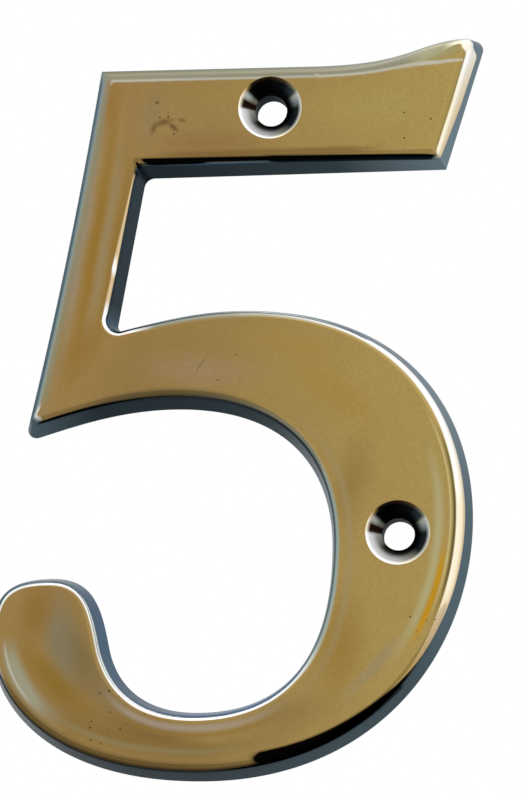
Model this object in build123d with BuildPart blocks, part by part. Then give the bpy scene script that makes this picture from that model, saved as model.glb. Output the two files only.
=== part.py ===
from build123d import *
from math import cos, hypot, radians, sin, tan
import os

os.makedirs("parts", exist_ok=True)

# A cast house number, the figure 5, screwed to a wall through two countersunk holes.
# The wall is the XZ plane, the polished face looks along -Y, and the origin is the
# middle of the figure on the wall. Sizes are millimetres and degrees. Reaches are taken
# rightwards from the left end of the ball, levels upwards from the bottom of the bowl.

# Casting: flat back, flank that leans inwards, edge of the face rolled over by polishing. The right side
# of the bowl and the flag's end were polished harder, so their face sits a little left of their back.
thickness = 4.0
draft_angle = 10.5
roll_radius = 0.9
roll_steps = 4
face_shift = 0.45

# Bowl: the big round stroke and the hollow inside it
bowl_width = 48.5
bowl_height = 47.6
bowl_level = 26.3
bowl_stroke = 14.1
base_reach = 21.5
base_stroke = 6.85
crown_reach = 25.5
crown_stroke = 10.0
hollow_level = 23.6
hollow_base_reach = 20.95
hollow_crown_reach = 18.55

# Ball that ends the bowl at the lower left
ball_level = 14.1
ball_height = 20.5
ball_crown_reach = 6.15
neck_reach = 11.9
neck_level = 13.55
neck_slope = 100.7

# Slanted stem, whose outer edge bows in a little
stem_outer_slope = 78.85
stem_bow_angle = 2.2
stem_inner_slope = 79.65
foot_level = 34.5
foot_slope = 14.0
crotch_reach = 12.5
crotch_level = 45.55
crotch_slope = 14.5

# Flag: the top stroke, which flares up to a point at its slanted right end
flag_left = 10.7
flag_top = 72.75
flag_depth = 11.2
flag_underside_slope = 0.5
flag_end_setback = 2.4
flag_end_slope = 72.5
flare_reach = 33.0
flare_rise = 2.55

# Corner radii at the back; the crotch gets softer towards the face, the others crisper
crotch_radius = 0.5
armpit_radius = 1.1
tip_radius = 1.0
foot_radius = 0.9
crisp_share = 0.25

# Screw holes
hole_diameter = 3.2
countersink_diameter = 6.5
countersink_angle = 90.0
lip_width = 0.2
lip_angle = 20.0
upper_hole_inset = 17.8
upper_hole_rise = 0.65
lower_hole_shift = 0.25
lower_hole_level = 24.2
cutter_overrun = 1.0

# How far each curve runs straight on at its start and its end, as shares of its chord
ball_to_base = (0.25, 0.60)
base_to_side = (0.48, 0.34)
side_to_crown = (0.36, 0.51)
crown_to_crotch = (0.25, 0.55)
tip_to_flag = (0.36, 0.63)
shoulder_to_foot = (0.33, 0.33)
foot_to_hollow = (0.20, 0.43)
hollow_crown_to_side = (0.56, 0.34)
hollow_side_to_base = (0.51, 0.42)
hollow_base_to_neck = (0.46, 0.38)
neck_to_ball = (0.48, 0.445)
ball_crown_to_end = (0.51, 0.56)

# A curve leaves this far off dead tangent, too little to see, so that it stays a face of its own
hairline_angle = 0.000001

# Headings, taken anticlockwise round the figure with the metal on the left hand
RIGHT, UP, LEFT, DOWN = 0, 90, 180, 270


def heading(angle):
    """Unit step along a heading."""
    return cos(radians(angle)), sin(radians(angle))


def crossing(point, angle, other, other_angle):
    """Point where two straight edges meet."""
    ax, ay = heading(angle)
    bx, by = heading(other_angle)
    gap_x, gap_y = other[0] - point[0], other[1] - point[1]
    run = (gap_x * by - gap_y * bx) / (ax * by - ay * bx)
    return point[0] + run * ax, point[1] + run * ay


def inward(point, angle_in, angle_out, inset):
    """A corner of the outline after both of its edges have moved into the metal."""
    ax, ay = heading(angle_in + 90)
    bx, by = heading(angle_out + 90)
    share = inset / (1 + ax * bx + ay * by)
    return point[0] + share * (ax + bx), point[1] + share * (ay + by)


def curve(start, start_angle, end, end_angle, pulls):
    """One round stretch that leaves and arrives on given headings."""
    chord = hypot(end[0] - start[0], end[1] - start[1])
    leave_x, leave_y = heading(start_angle + hairline_angle)
    arrive_x, arrive_y = heading(end_angle)
    out, back = pulls[0] * chord, pulls[1] * chord
    Bezier(
        start,
        (start[0] + out * leave_x, start[1] + out * leave_y),
        (end[0] - back * arrive_x, end[1] - back * arrive_y),
        end,
    )


# Corners of the back outline, and the headings of the stem's bowed edge
crotch_corner = (crotch_reach, crotch_level)
flag_left_corner = (flag_left, flag_top)
underside_corner = (flag_left, flag_top - flag_depth)
armpit_corner = crossing(crotch_corner, stem_inner_slope, underside_corner, flag_underside_slope)
flag_end_corner = crossing(underside_corner, flag_underside_slope, (bowl_width - flag_end_setback, 0), UP)
tip_corner = crossing(flag_end_corner, flag_end_slope, (0, flag_top + flare_rise), RIGHT)
foot_corner = crossing(flag_left_corner, stem_outer_slope, (0, foot_level), RIGHT)
stem_top_heading = LEFT + stem_outer_slope + stem_bow_angle
stem_foot_heading = LEFT + stem_outer_slope - stem_bow_angle

# Overall sizes that follow from them
tip_centre = inward(tip_corner, flag_end_slope, LEFT, tip_radius)
figure_width = max(bowl_width, tip_centre[0] + tip_radius)
figure_height = flag_top + flare_rise

# Middle of the roll's round section, as a depth from the wall and an inset from the back outline
roll_depth = thickness - roll_radius
roll_inset = roll_depth * tan(radians(draft_angle)) + roll_radius / cos(radians(draft_angle))


def outline(inset):
    """The figure's outline, moved into the metal; returns its rounded corners with their radii."""
    shift = face_shift * inset / roll_inset
    ball_end = inward((0, ball_level), DOWN, DOWN, inset)
    base = inward((base_reach, 0), RIGHT, RIGHT, inset)
    side = inward((bowl_width, bowl_level), UP, UP, inset + shift)
    crown = inward((crown_reach, bowl_height), LEFT, LEFT, inset)
    crotch = inward(crotch_corner, LEFT + crotch_slope, stem_inner_slope, inset)
    armpit = inward(armpit_corner, stem_inner_slope, flag_underside_slope, inset)
    flag_end_start = (flag_end_corner[0] - shift, flag_end_corner[1])
    flag_end = inward(flag_end_start, flag_underside_slope, flag_end_slope, inset)
    tip = inward((tip_corner[0] - shift, tip_corner[1]), flag_end_slope, LEFT, inset)
    flare = inward((flare_reach, flag_top), LEFT, LEFT, inset)
    shoulder = inward(flag_left_corner, LEFT, stem_top_heading, inset)
    foot = inward(foot_corner, stem_foot_heading, foot_slope, inset)
    hollow_crown = inward((hollow_crown_reach, bowl_height - crown_stroke), RIGHT, RIGHT, inset)
    hollow_side = inward((bowl_width - bowl_stroke, hollow_level), DOWN, DOWN, inset - shift)
    hollow_base = inward((hollow_base_reach, base_stroke), LEFT, LEFT, inset)
    neck = inward((neck_reach, neck_level), neck_slope, neck_slope, inset)
    ball_crown = inward((ball_crown_reach, ball_height), LEFT, LEFT, inset)

    curve(ball_end, DOWN, base, RIGHT, ball_to_base)
    curve(base, RIGHT, side, UP, base_to_side)
    curve(side, UP, crown, LEFT, side_to_crown)
    curve(crown, LEFT, crotch, LEFT + crotch_slope, crown_to_crotch)
    Polyline(crotch, armpit, flag_end, tip)
    curve(tip, LEFT, flare, LEFT, tip_to_flag)
    Line(flare, shoulder)
    curve(shoulder, stem_top_heading, foot, stem_foot_heading, shoulder_to_foot)
    curve(foot, foot_slope, hollow_crown, RIGHT, foot_to_hollow)
    curve(hollow_crown, RIGHT, hollow_side, DOWN, hollow_crown_to_side)
    curve(hollow_side, DOWN, hollow_base, LEFT, hollow_side_to_base)
    curve(hollow_base, LEFT, neck, neck_slope, hollow_base_to_neck)
    curve(neck, neck_slope, ball_crown, LEFT, neck_to_ball)
    curve(ball_crown, LEFT, ball_end, DOWN, ball_crown_to_end)
    crispness = 1 - (1 - crisp_share) * inset / roll_inset
    return (
        (crotch, crotch_radius + inset),
        (armpit, armpit_radius * crispness),
        (tip, tip_radius * crispness),
        (foot, foot_radius * crispness),
    )


def roll_slice(step):
    """Depth and inset of one slice of the roll, from the flank round to the face."""
    turn = radians(draft_angle + (90 - draft_angle) * step / roll_steps)
    return roll_depth + roll_radius * sin(turn), roll_inset - roll_radius * cos(turn)


def nearest(shapes, point):
    """The one of these shapes that lies nearest a point."""
    return shapes.sort_by_distance(point)[0]


wall = Plane(origin=(-figure_width / 2, 0, -figure_height / 2), x_dir=(1, 0, 0), z_dir=(0, -1, 0))

with BuildPart() as figure:
    # Straight drafted flank from the wall up, then the roll from the flank round to the face
    roll = [roll_slice(step) for step in range(roll_steps + 1)]
    flank = [(0, 0), roll[0]]
    for slices in (flank, roll):
        for depth, inset in slices:
            with BuildSketch(wall.offset(depth)) as section:
                with BuildLine():
                    corners = outline(inset)
                make_face()
                for corner, radius in corners:
                    fillet(nearest(section.vertices(), (*corner, 0)), radius)
        loft(ruled=slices is flank)

    # Countersunk screw holes, each with a softened lip
    upper_hole = (flag_left + upper_hole_inset, flag_top - flag_depth / 2 + upper_hole_rise)
    lower_hole = (bowl_width - bowl_stroke / 2 - lower_hole_shift, lower_hole_level)
    for hole in (upper_hole, lower_hole):
        centre = wall.from_local_coords(hole)
        bore = hole_diameter / 2
        mouth = (countersink_diameter / 2, thickness)
        lip = (mouth[0] - lip_width, thickness - lip_width * tan(radians(lip_angle)))
        cone_end = crossing(lip, DOWN - countersink_angle / 2, (bore, 0), UP)
        with BuildSketch(Plane(origin=centre, x_dir=(1, 0, 0), z_dir=(0, 0, -1))):
            with BuildLine():
                Polyline(
                    mouth,
                    lip,
                    cone_end,
                    (bore, -cutter_overrun),
                    (0, -cutter_overrun),
                    (0, thickness + cutter_overrun),
                    (mouth[0], thickness + cutter_overrun),
                    close=True,
                )
            make_face()
        revolve(axis=Axis(centre, (0, -1, 0)), mode=Mode.SUBTRACT)

figure.part.label = "house_number"
export_step(figure.part, "parts/house_number.step")
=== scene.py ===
"""Looks of a cast house number, the figure 5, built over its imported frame."""

from __future__ import annotations

import logging
import math
from collections.abc import Callable, Mapping, Sequence
from dataclasses import dataclass, field
from enum import Enum, IntEnum
from functools import partial
from typing import ClassVar, NamedTuple

import bpy
import numpy as np
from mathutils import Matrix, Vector
from mathutils.geometry import delaunay_2d_cdt

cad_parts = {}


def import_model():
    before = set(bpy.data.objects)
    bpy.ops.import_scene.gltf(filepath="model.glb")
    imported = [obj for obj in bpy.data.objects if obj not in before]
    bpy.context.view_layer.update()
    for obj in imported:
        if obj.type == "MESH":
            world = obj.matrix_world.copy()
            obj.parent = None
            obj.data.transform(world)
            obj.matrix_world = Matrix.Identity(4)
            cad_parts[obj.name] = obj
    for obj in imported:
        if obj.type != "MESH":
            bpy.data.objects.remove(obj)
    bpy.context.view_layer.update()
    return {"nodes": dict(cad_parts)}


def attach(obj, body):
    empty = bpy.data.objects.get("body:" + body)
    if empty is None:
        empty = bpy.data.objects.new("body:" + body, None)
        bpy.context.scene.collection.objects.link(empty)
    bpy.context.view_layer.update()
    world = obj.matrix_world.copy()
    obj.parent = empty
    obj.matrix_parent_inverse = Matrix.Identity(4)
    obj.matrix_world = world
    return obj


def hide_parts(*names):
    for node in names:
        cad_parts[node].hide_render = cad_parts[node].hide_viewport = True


LOG = logging.getLogger("house_number")
MM = 0.001

Pair = tuple[float, float]
Triple = tuple[float, float, float]
Socket = bpy.types.NodeSocket
AddNode = Callable[..., bpy.types.bpy_prop_collection]


class Heading(IntEnum):
    """Headings in degrees, taken anticlockwise round the figure with the metal on the left hand."""

    RIGHT = 0
    UP = 90
    LEFT = 180
    DOWN = 270


class Tone(str, Enum):
    """Tones of the painted reflections on the rim, the flanks and the countersinks, from white glints to
    reflected black.
    """

    WHITE = "#FFFFFF"
    CREAM = "#FFF6DC"
    PEACH = "#F0D4A6"
    SAND = "#DCC298"
    STRAW = "#CAA868"
    PEARL = "#E8ECE8"
    ASH = "#C6C6BC"
    STONE = "#A4A698"
    OLIVE = "#A8A47C"
    SAGE = "#8E8A74"
    GREY_GREEN = "#869A94"
    BRONZE = "#70603E"
    UMBER = "#5A4A2E"
    DARK_UMBER = "#382F20"
    OXBLOOD = "#2A1812"
    REFLECTED_BLACK = "#0A0908"
    JET_SLATE = "#10181A"
    NIGHT_SLATE = "#252D31"
    DARK_SLATE = "#3A464C"
    SLATE = "#52646C"
    PALE_SLATE = "#74858E"
    MIST = "#98A6AA"
    DUSK_BLUE = "#4A6078"
    BLUE = "#4C6A94"


class Mark(str, Enum):
    """Values that the figure's mesh carries for its finish."""

    EDGE = "edge_mm"
    HOLE = "hole_mm"
    # These carry painted reflections: of the roll, the flank, the lines along the face's edge and the
    # countersinks
    INNER = "roll_inner"
    OUTER = "roll_outer"
    FLANK = "flank_tone"
    LIMITS = "roll_limits"
    BAND = "band_"
    SINK = "sink_tone"


class Kind(Enum):
    """Kinds of value that a mesh can carry at its points: Blender's name, and the key to the values."""

    NUMBER = ("FLOAT", "value")
    VECTOR = ("FLOAT_VECTOR", "vector")
    COLOUR = ("FLOAT_COLOR", "color")

    def hang(self, mesh: bpy.types.Mesh, name: str, values: Sequence[float] | np.ndarray) -> None:
        """Hang a named value on every point of a mesh.

        Args:
            mesh: Mesh that is to carry it.
            name: Name that the finish asks for.
            values: Values of the points in order.
        """
        layer, key = self.value
        spread = np.asarray(values, np.float32).ravel()
        mesh.attributes.new(name, layer, "POINT").data.foreach_set(key, spread)


Layer = tuple[str, Kind, np.ndarray]


def linear(hex_colour: str) -> tuple[float, float, float, float]:
    """Turn an sRGB hex colour into linear light.

    Args:
        hex_colour: Colour such as "#A08250".

    Returns:
        Linear red, green, blue and an alpha of 1.
    """
    shares = [int(hex_colour[i : i + 2], 16) / 255 for i in (1, 3, 5)]
    light = [s / 12.92 if s <= 0.04045 else ((s + 0.055) / 1.055) ** 2.4 for s in shares]
    return light[0], light[1], light[2], 1.0


def add_node(
    tree: bpy.types.NodeTree,
    kind: str,
    inputs: Mapping[str | int, object] | None = None,
    **settings: object,
) -> bpy.types.bpy_prop_collection:
    """Add a shader node with its settings and links.

    Args:
        tree: Node tree that gets the node.
        kind: Blender's name for the node type, after "ShaderNode".
        inputs: Socket name or number to a value, or to the output socket that feeds it. The names of a
            Mix node's sockets repeat: 0 is its share, 2 and 3 are its numbers, 6 and 7 its colours.
        **settings: Attributes set on the node first.

    Returns:
        The new node's outputs, where a Mix node has its number at 0 and its colour at 2.
    """
    made = tree.nodes.new("ShaderNode" + kind)
    for name, value in settings.items():
        setattr(made, name, value)
    for socket, value in (inputs or {}).items():
        if isinstance(value, Socket):
            tree.links.new(value, made.inputs[socket])
        else:
            made.inputs[socket].default_value = value
    return made.outputs


def bare_tree(owner: bpy.types.Material | bpy.types.World) -> bpy.types.NodeTree:
    """Give a material or a world an empty node tree.

    Args:
        owner: Material or world.

    Returns:
        Its tree.
    """
    owner.use_nodes = True
    owner.node_tree.nodes.clear()
    return owner.node_tree


def put(name: str, data: bpy.types.ID) -> bpy.types.Object:
    """Put a mesh, lamp or camera into the scene.

    Args:
        name: Name of the new object.
        data: What the object shows.

    Returns:
        The object.
    """
    made = bpy.data.objects.new(name, data)
    bpy.context.scene.collection.objects.link(made)
    return made


def unit(angle: float) -> np.ndarray:
    """Unit step along a heading in degrees."""
    return np.array((math.cos(math.radians(angle)), math.sin(math.radians(angle))))


def crossing(point: Sequence[float], angle: float, other: Sequence[float], other_angle: float) -> np.ndarray:
    """Find where two straight edges meet.

    Args:
        point: Point on the first edge.
        angle: Heading of the first edge.
        other: Point on the second edge.
        other_angle: Heading of the second edge.

    Returns:
        The meeting point.
    """
    first, second = unit(angle), unit(other_angle)
    gap = np.subtract(other, point)
    run = (gap[0] * second[1] - gap[1] * second[0]) / (first[0] * second[1] - first[1] * second[0])
    return np.asarray(point, float) + run * first


def inward(point: Sequence[float], angle_in: float, angle_out: float, inset: float) -> np.ndarray:
    """Move a corner of the outline into the metal along with both of its edges.

    Args:
        point: Corner before the move.
        angle_in: Heading of the edge that arrives there.
        angle_out: Heading of the edge that leaves.
        inset: Distance that both edges move.

    Returns:
        The moved corner.
    """
    first, second = unit(angle_in + 90), unit(angle_out + 90)
    return np.asarray(point, float) + inset / (1 + first @ second) * (first + second)


def inside(points: np.ndarray, ring: np.ndarray) -> np.ndarray:
    """Tell which points lie within a closed ring.

    Args:
        points: Points to test.
        ring: Corners of the ring in order.

    Returns:
        True for each point that lies within.
    """
    level_rise = 1e-12
    found = np.zeros(len(points), bool)
    for a, b in zip(ring, np.roll(ring, -1, axis=0)):
        straddles = (a[1] > points[:, 1]) != (b[1] > points[:, 1])
        rise = b[1] - a[1] if b[1] != a[1] else level_rise
        found ^= straddles & (points[:, 0] < (b[0] - a[0]) * (points[:, 1] - a[1]) / rise + a[0])
    return found


def gaps(points: np.ndarray, ring: np.ndarray) -> np.ndarray:
    """Distance of every point from every corner of a ring."""
    return np.linalg.norm(points[:, None] - ring[None], axis=2)


@dataclass(frozen=True)
class Stretch:
    """One stretch of the outline, a cubic curve between two posts."""

    pegs: np.ndarray
    length_steps: ClassVar[int] = 64

    @classmethod
    def curve(cls, start: np.ndarray, leave: float, end: np.ndarray, arrive: float, pulls: Pair) -> Stretch:
        """Make a round stretch.

        Args:
            start: First point.
            leave: Heading at the first point.
            end: Last point.
            arrive: Heading at the last point.
            pulls: How far it runs straight on at each end, as shares of the chord.

        Returns:
            The stretch.
        """
        chord = float(np.linalg.norm(end - start))
        out, back = pulls[0] * chord * unit(leave), pulls[1] * chord * unit(arrive)
        return cls(np.array((start, start + out, end - back, end)))

    @classmethod
    def straight(cls, start: np.ndarray, end: np.ndarray) -> Stretch:
        """A straight stretch."""
        return cls(np.array([start + (end - start) * share / 3 for share in range(4)]))

    def at(self, share: np.ndarray | float) -> np.ndarray:
        """Find points of the stretch.

        Args:
            share: Shares of the stretch that lie behind the points.

        Returns:
            The points in rows.
        """
        t = np.atleast_1d(np.asarray(share, float))[:, None]
        a, b, c, d = self.pegs
        return (1 - t) ** 3 * a + 3 * (1 - t) ** 2 * t * b + 3 * (1 - t) * t**2 * c + t**3 * d

    def left(self, share: np.ndarray | float) -> np.ndarray:
        """Find the way into the metal at points of the stretch.

        Args:
            share: Shares of the stretch that lie behind the points.

        Returns:
            Unit steps in rows.
        """
        t = np.atleast_1d(np.asarray(share, float))[:, None]
        a, b, c, d = self.pegs
        way = (1 - t) ** 2 * (b - a) + 2 * (1 - t) * t * (c - b) + t**2 * (d - c)
        way /= np.linalg.norm(way, axis=1, keepdims=True)
        return np.stack((-way[:, 1], way[:, 0]), axis=1)

    def beside(self, share: float, reach: float) -> np.ndarray:
        """The point at a share of the stretch, moved into the metal."""
        return self.at(share)[0] + reach * self.left(share)[0]

    def length(self) -> float:
        """Length along the stretch."""
        points = self.at(np.linspace(0, 1, self.length_steps + 1))
        return float(np.linalg.norm(np.diff(points, axis=0), axis=1).sum())


@dataclass(frozen=True)
class RoundedCorner:
    """Where an arc of a given radius touches two stretches that meet in a corner."""

    share_in: float
    share_out: float
    centre: np.ndarray
    side: float
    fit_rounds: ClassVar[int] = 14
    fit_step: ClassVar[float] = 1e-5

    @classmethod
    def between(cls, first: Stretch, second: Stretch, radius: float) -> RoundedCorner:
        """Fit the arc.

        Args:
            first: Stretch that arrives at the corner.
            second: Stretch that leaves it.
            radius: Radius of the arc.

        Returns:
            The fitted corner.
        """
        normal_in, normal_out = first.left(1.0)[0], second.left(0.0)[0]
        cross = normal_in[0] * normal_out[1] - normal_in[1] * normal_out[0]
        turn = math.atan2(cross, float(normal_in @ normal_out))
        side = math.copysign(1.0, turn)
        reach = radius * math.tan(abs(turn) / 2)
        shares = np.array((1 - reach / first.length(), reach / second.length()))

        def miss(at: np.ndarray) -> np.ndarray:
            """Gap between the centres that the two stretches ask for."""
            return first.beside(at[0], side * radius) - second.beside(at[1], side * radius)

        for _ in range(cls.fit_rounds):
            gap = miss(shares)
            moves = cls.fit_step * np.eye(2)
            slope = np.stack([(miss(shares + move) - gap) / cls.fit_step for move in moves], axis=1)
            shares = shares - np.linalg.solve(slope, gap)
        return cls(float(shares[0]), float(shares[1]), first.beside(shares[0], side * radius), side)


class Post(NamedTuple):
    """A post of the outline: its place on the back, its headings, its inset and the pulls of what follows."""

    place: Sequence[float]
    arrive: float
    leave: float
    inset: float
    pulls: Pair | None

    def moved(self) -> np.ndarray:
        """The post's place after it has moved into the metal."""
        return inward(self.place, self.arrive, self.leave, self.inset)


@dataclass(frozen=True)
class FigureOutline:
    """Outline of the figure, in millimetres from the ball's left end and the bowl's bottom."""

    # Casting: leaning flank, rolled edge, and how far the polished face sits left of the back
    thickness: float = 4.0
    draft_angle: float = 10.5
    roll_radius: float = 0.9
    face_shift: float = 0.45
    # Bowl and the hollow inside it
    bowl_width: float = 48.5
    bowl_height: float = 47.6
    bowl_level: float = 26.3
    bowl_stroke: float = 14.1
    base_reach: float = 21.5
    base_stroke: float = 6.85
    crown_reach: float = 25.5
    crown_stroke: float = 10.0
    hollow_level: float = 23.6
    hollow_base_reach: float = 20.95
    hollow_crown_reach: float = 18.55
    # Ball that ends the bowl at the lower left
    ball_level: float = 14.1
    ball_height: float = 20.5
    ball_crown_reach: float = 6.15
    neck_reach: float = 11.9
    neck_level: float = 13.55
    neck_slope: float = 100.7
    # Slanted stem, whose outer edge bows in a little
    stem_outer_slope: float = 78.85
    stem_bow_angle: float = 2.2
    stem_inner_slope: float = 79.65
    foot_level: float = 34.5
    foot_slope: float = 14.0
    crotch: Pair = (12.5, 45.55)
    crotch_slope: float = 14.5
    # Flag, which flares up to a point at its right end
    flag_left: float = 10.7
    flag_top: float = 72.75
    flag_depth: float = 11.2
    flag_underside_slope: float = 0.5
    flag_end_setback: float = 2.4
    flag_end_slope: float = 72.5
    flare_reach: float = 33.0
    flare_rise: float = 2.55
    # Corner radii at the back, and a radius for the corners that look sharp
    crotch_radius: float = 0.5
    armpit_radius: float = 1.1
    tip_radius: float = 1.0
    foot_radius: float = 0.9
    crisp_share: float = 0.25
    eased_corner: float = 0.03
    # Spacing of the mesh's points along the outline, and steps in a rounded corner
    ring_pitch: float = 0.3
    fewest_points: int = 4
    arc_steps: int = 12
    # How far each curve runs straight on at its start and its end, as shares of its chord
    ball_to_base: Pair = (0.25, 0.60)
    base_to_side: Pair = (0.48, 0.34)
    side_to_crown: Pair = (0.36, 0.51)
    crown_to_crotch: Pair = (0.25, 0.55)
    tip_to_flag: Pair = (0.36, 0.63)
    shoulder_to_foot: Pair = (0.33, 0.33)
    foot_to_hollow: Pair = (0.20, 0.43)
    hollow_crown_to_side: Pair = (0.56, 0.34)
    hollow_side_to_base: Pair = (0.51, 0.42)
    hollow_base_to_neck: Pair = (0.46, 0.38)
    neck_to_ball: Pair = (0.48, 0.445)
    ball_crown_to_end: Pair = (0.51, 0.56)

    @property
    def roll_depth(self) -> float:
        """Depth of the roll's round section from the wall."""
        return self.thickness - self.roll_radius

    @property
    def roll_inset(self) -> float:
        """Inset of the roll's round section from the back outline."""
        lean = math.radians(self.draft_angle)
        return self.roll_depth * math.tan(lean) + self.roll_radius / math.cos(lean)

    def corners(self) -> dict[str, np.ndarray]:
        """Work out the corners of the back outline.

        Returns:
            The corners by name.
        """
        left = np.array((self.flag_left, self.flag_top))
        under = left - (0, self.flag_depth)
        crotch = np.array(self.crotch)
        end_reach = (self.bowl_width - self.flag_end_setback, 0)
        end = crossing(under, self.flag_underside_slope, end_reach, Heading.UP)
        tip_level = (0, self.flag_top + self.flare_rise)
        return {
            "crotch": crotch,
            "armpit": crossing(crotch, self.stem_inner_slope, under, self.flag_underside_slope),
            "flag_end": end,
            "tip": crossing(end, self.flag_end_slope, tip_level, Heading.RIGHT),
            "shoulder": left,
            "foot": crossing(left, self.stem_outer_slope, (0, self.foot_level), Heading.RIGHT),
        }

    def middle(self) -> np.ndarray:
        """Work out the middle of the figure's box.

        Returns:
            The middle, which is the frame's origin.
        """
        tip = inward(self.corners()["tip"], self.flag_end_slope, Heading.LEFT, self.tip_radius)
        width = max(self.bowl_width, tip[0] + self.tip_radius)
        return np.array((width, self.flag_top + self.flare_rise)) / 2

    def posts(self, inset: float) -> list[Post]:
        """Set the posts of the outline for a move into the metal.

        Args:
            inset: Distance of the move.

        Returns:
            The posts in order, anticlockwise from the ball's left end.
        """
        h, names = Heading, self.corners()
        shift = self.face_shift * inset / self.roll_inset
        flag_end, tip = names["flag_end"] - (shift, 0), names["tip"] - (shift, 0)
        stem_top = h.LEFT + self.stem_outer_slope + self.stem_bow_angle
        stem_foot = h.LEFT + self.stem_outer_slope - self.stem_bow_angle
        hollow_crown = (self.hollow_crown_reach, self.bowl_height - self.crown_stroke)
        hollow_side = (self.bowl_width - self.bowl_stroke, self.hollow_level)
        hollow_base = (self.hollow_base_reach, self.base_stroke)
        neck = (self.neck_reach, self.neck_level)
        return [
            Post((0, self.ball_level), h.DOWN, h.DOWN, inset, self.ball_to_base),
            Post((self.base_reach, 0), h.RIGHT, h.RIGHT, inset, self.base_to_side),
            Post((self.bowl_width, self.bowl_level), h.UP, h.UP, inset + shift, self.side_to_crown),
            Post((self.crown_reach, self.bowl_height), h.LEFT, h.LEFT, inset, self.crown_to_crotch),
            Post(names["crotch"], h.LEFT + self.crotch_slope, self.stem_inner_slope, inset, None),
            Post(names["armpit"], self.stem_inner_slope, self.flag_underside_slope, inset, None),
            Post(flag_end, self.flag_underside_slope, self.flag_end_slope, inset, None),
            Post(tip, self.flag_end_slope, h.LEFT, inset, self.tip_to_flag),
            Post((self.flare_reach, self.flag_top), h.LEFT, h.LEFT, inset, None),
            Post(names["shoulder"], h.LEFT, stem_top, inset, self.shoulder_to_foot),
            Post(names["foot"], stem_foot, self.foot_slope, inset, self.foot_to_hollow),
            Post(hollow_crown, h.RIGHT, h.RIGHT, inset, self.hollow_crown_to_side),
            Post(hollow_side, h.DOWN, h.DOWN, inset - shift, self.hollow_side_to_base),
            Post(hollow_base, h.LEFT, h.LEFT, inset, self.hollow_base_to_neck),
            Post(neck, self.neck_slope, self.neck_slope, inset, self.neck_to_ball),
            Post((self.ball_crown_reach, self.ball_height), h.LEFT, h.LEFT, inset, self.ball_crown_to_end),
        ]

    def stretches(self, inset: float) -> list[Stretch]:
        """Draw the outline after it has moved into the metal.

        Args:
            inset: Distance of the move.

        Returns:
            The stretches between the posts, in the posts' order.
        """
        posts = self.posts(inset)
        made = []
        for post, following in zip(posts, posts[1:] + posts[:1]):
            start, end = post.moved(), following.moved()
            if post.pulls is None:
                made.append(Stretch.straight(start, end))
            else:
                made.append(Stretch.curve(start, post.leave, end, following.arrive, post.pulls))
        return made

    def radii(self, inset: float) -> dict[int, float]:
        """Work out the corner radii, of which most get crisper towards the face.

        Args:
            inset: Distance that the outline has moved into the metal.

        Returns:
            Radii by the number of the stretch that arrives at the corner.
        """
        crisp = 1 - (1 - self.crisp_share) * inset / self.roll_inset
        return {
            3: self.crotch_radius + inset,
            4: self.armpit_radius * crisp,
            5: self.eased_corner,
            6: self.tip_radius * crisp,
            8: self.eased_corner,
            9: self.foot_radius * crisp,
        }

    def ring(self, inset: float) -> tuple[np.ndarray, np.ndarray]:
        """Sample the outline, with the same number of points at every inset.

        Args:
            inset: Distance that the outline has moved into the metal.

        Returns:
            Points, and their stations: the number of the stretch plus the share of it that lies behind.
        """
        counts = [max(self.fewest_points, round(s.length() / self.ring_pitch)) for s in self.stretches(0)]
        runs = self.stretches(inset)
        followers = runs[1:] + runs[:1]
        fitted = {
            k: RoundedCorner.between(runs[k], followers[k], radius) for k, radius in self.radii(inset).items()
        }
        points, stations = [], []
        for k, run in enumerate(runs):
            start = fitted[k - 1].share_out if k - 1 in fitted else 0.0
            stop = fitted[k].share_in if k in fitted else 1.0
            points.append(run.at(np.linspace(start, stop, counts[k] + 1)[:-1]))
            stations.append(k + np.linspace(0, 1, counts[k] + 1)[:-1])
            if k in fitted:
                corner = fitted[k]
                ends = [-run.left(stop)[0], -followers[k].left(corner.share_out)[0]]
                first, last = (math.atan2(e[1], e[0]) for e in ends)
                swing = (last - first + math.pi) % (2 * math.pi) - math.pi
                angles = first + swing * np.linspace(0, 1, self.arc_steps + 1)[:-1]
                spokes = np.stack((np.cos(angles), np.sin(angles)), axis=1)
                radius = np.linalg.norm(run.at(stop)[0] - corner.centre)
                points.append(corner.centre + corner.side * radius * spokes)
                stations.append(np.full(self.arc_steps, k + 1.0))
        return np.concatenate(points), np.concatenate(stations)


@dataclass(frozen=True)
class ScrewHole:
    """A countersunk hole with a softened lip, in millimetres on the outline's grid."""

    place: Pair
    bore: float = 3.2
    mouth: float = 6.5
    cone_angle: float = 90.0
    lip_width: float = 0.2
    lip_angle: float = 20.0
    lip_bend: float = 1.6
    spokes: int = 96
    lip_rows: int = 3
    cone_rows: int = 6
    last_ring: float = 0.03

    def profile(self, thickness: float) -> list[Pair]:
        """Radius and depth from the wall of each ring, from the face down to the back.

        Args:
            thickness: Thickness of the metal.

        Returns:
            Rings in order.
        """
        mouth, bore = self.mouth / 2, self.bore / 2
        lip = mouth - self.lip_width, thickness - self.lip_width * math.tan(math.radians(self.lip_angle))
        cone_run = (lip[0] - bore) / math.tan(math.radians(self.cone_angle / 2))
        rings = [(mouth, thickness)]
        for row in range(1, self.lip_rows + 1):
            share = row / self.lip_rows
            drop = (thickness - lip[1]) * share**self.lip_bend
            rings.append((mouth - self.lip_width * share, thickness - drop))
        for row in range(1, self.cone_rows + 1):
            share = row / self.cone_rows
            rings.append((lip[0] + (bore - lip[0]) * share, lip[1] - cone_run * share))
        rings += [(bore, (lip[1] - cone_run) / 2), (bore, self.last_ring), (bore, 0.0)]
        return rings

    def circle(self, radius: float) -> np.ndarray:
        """Points of a ring round the axis, anticlockwise as seen from the front."""
        angles = np.linspace(0, 2 * math.pi, self.spokes, endpoint=False)
        return np.array(self.place) + radius * np.stack((np.cos(angles), np.sin(angles)), axis=1)


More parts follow.
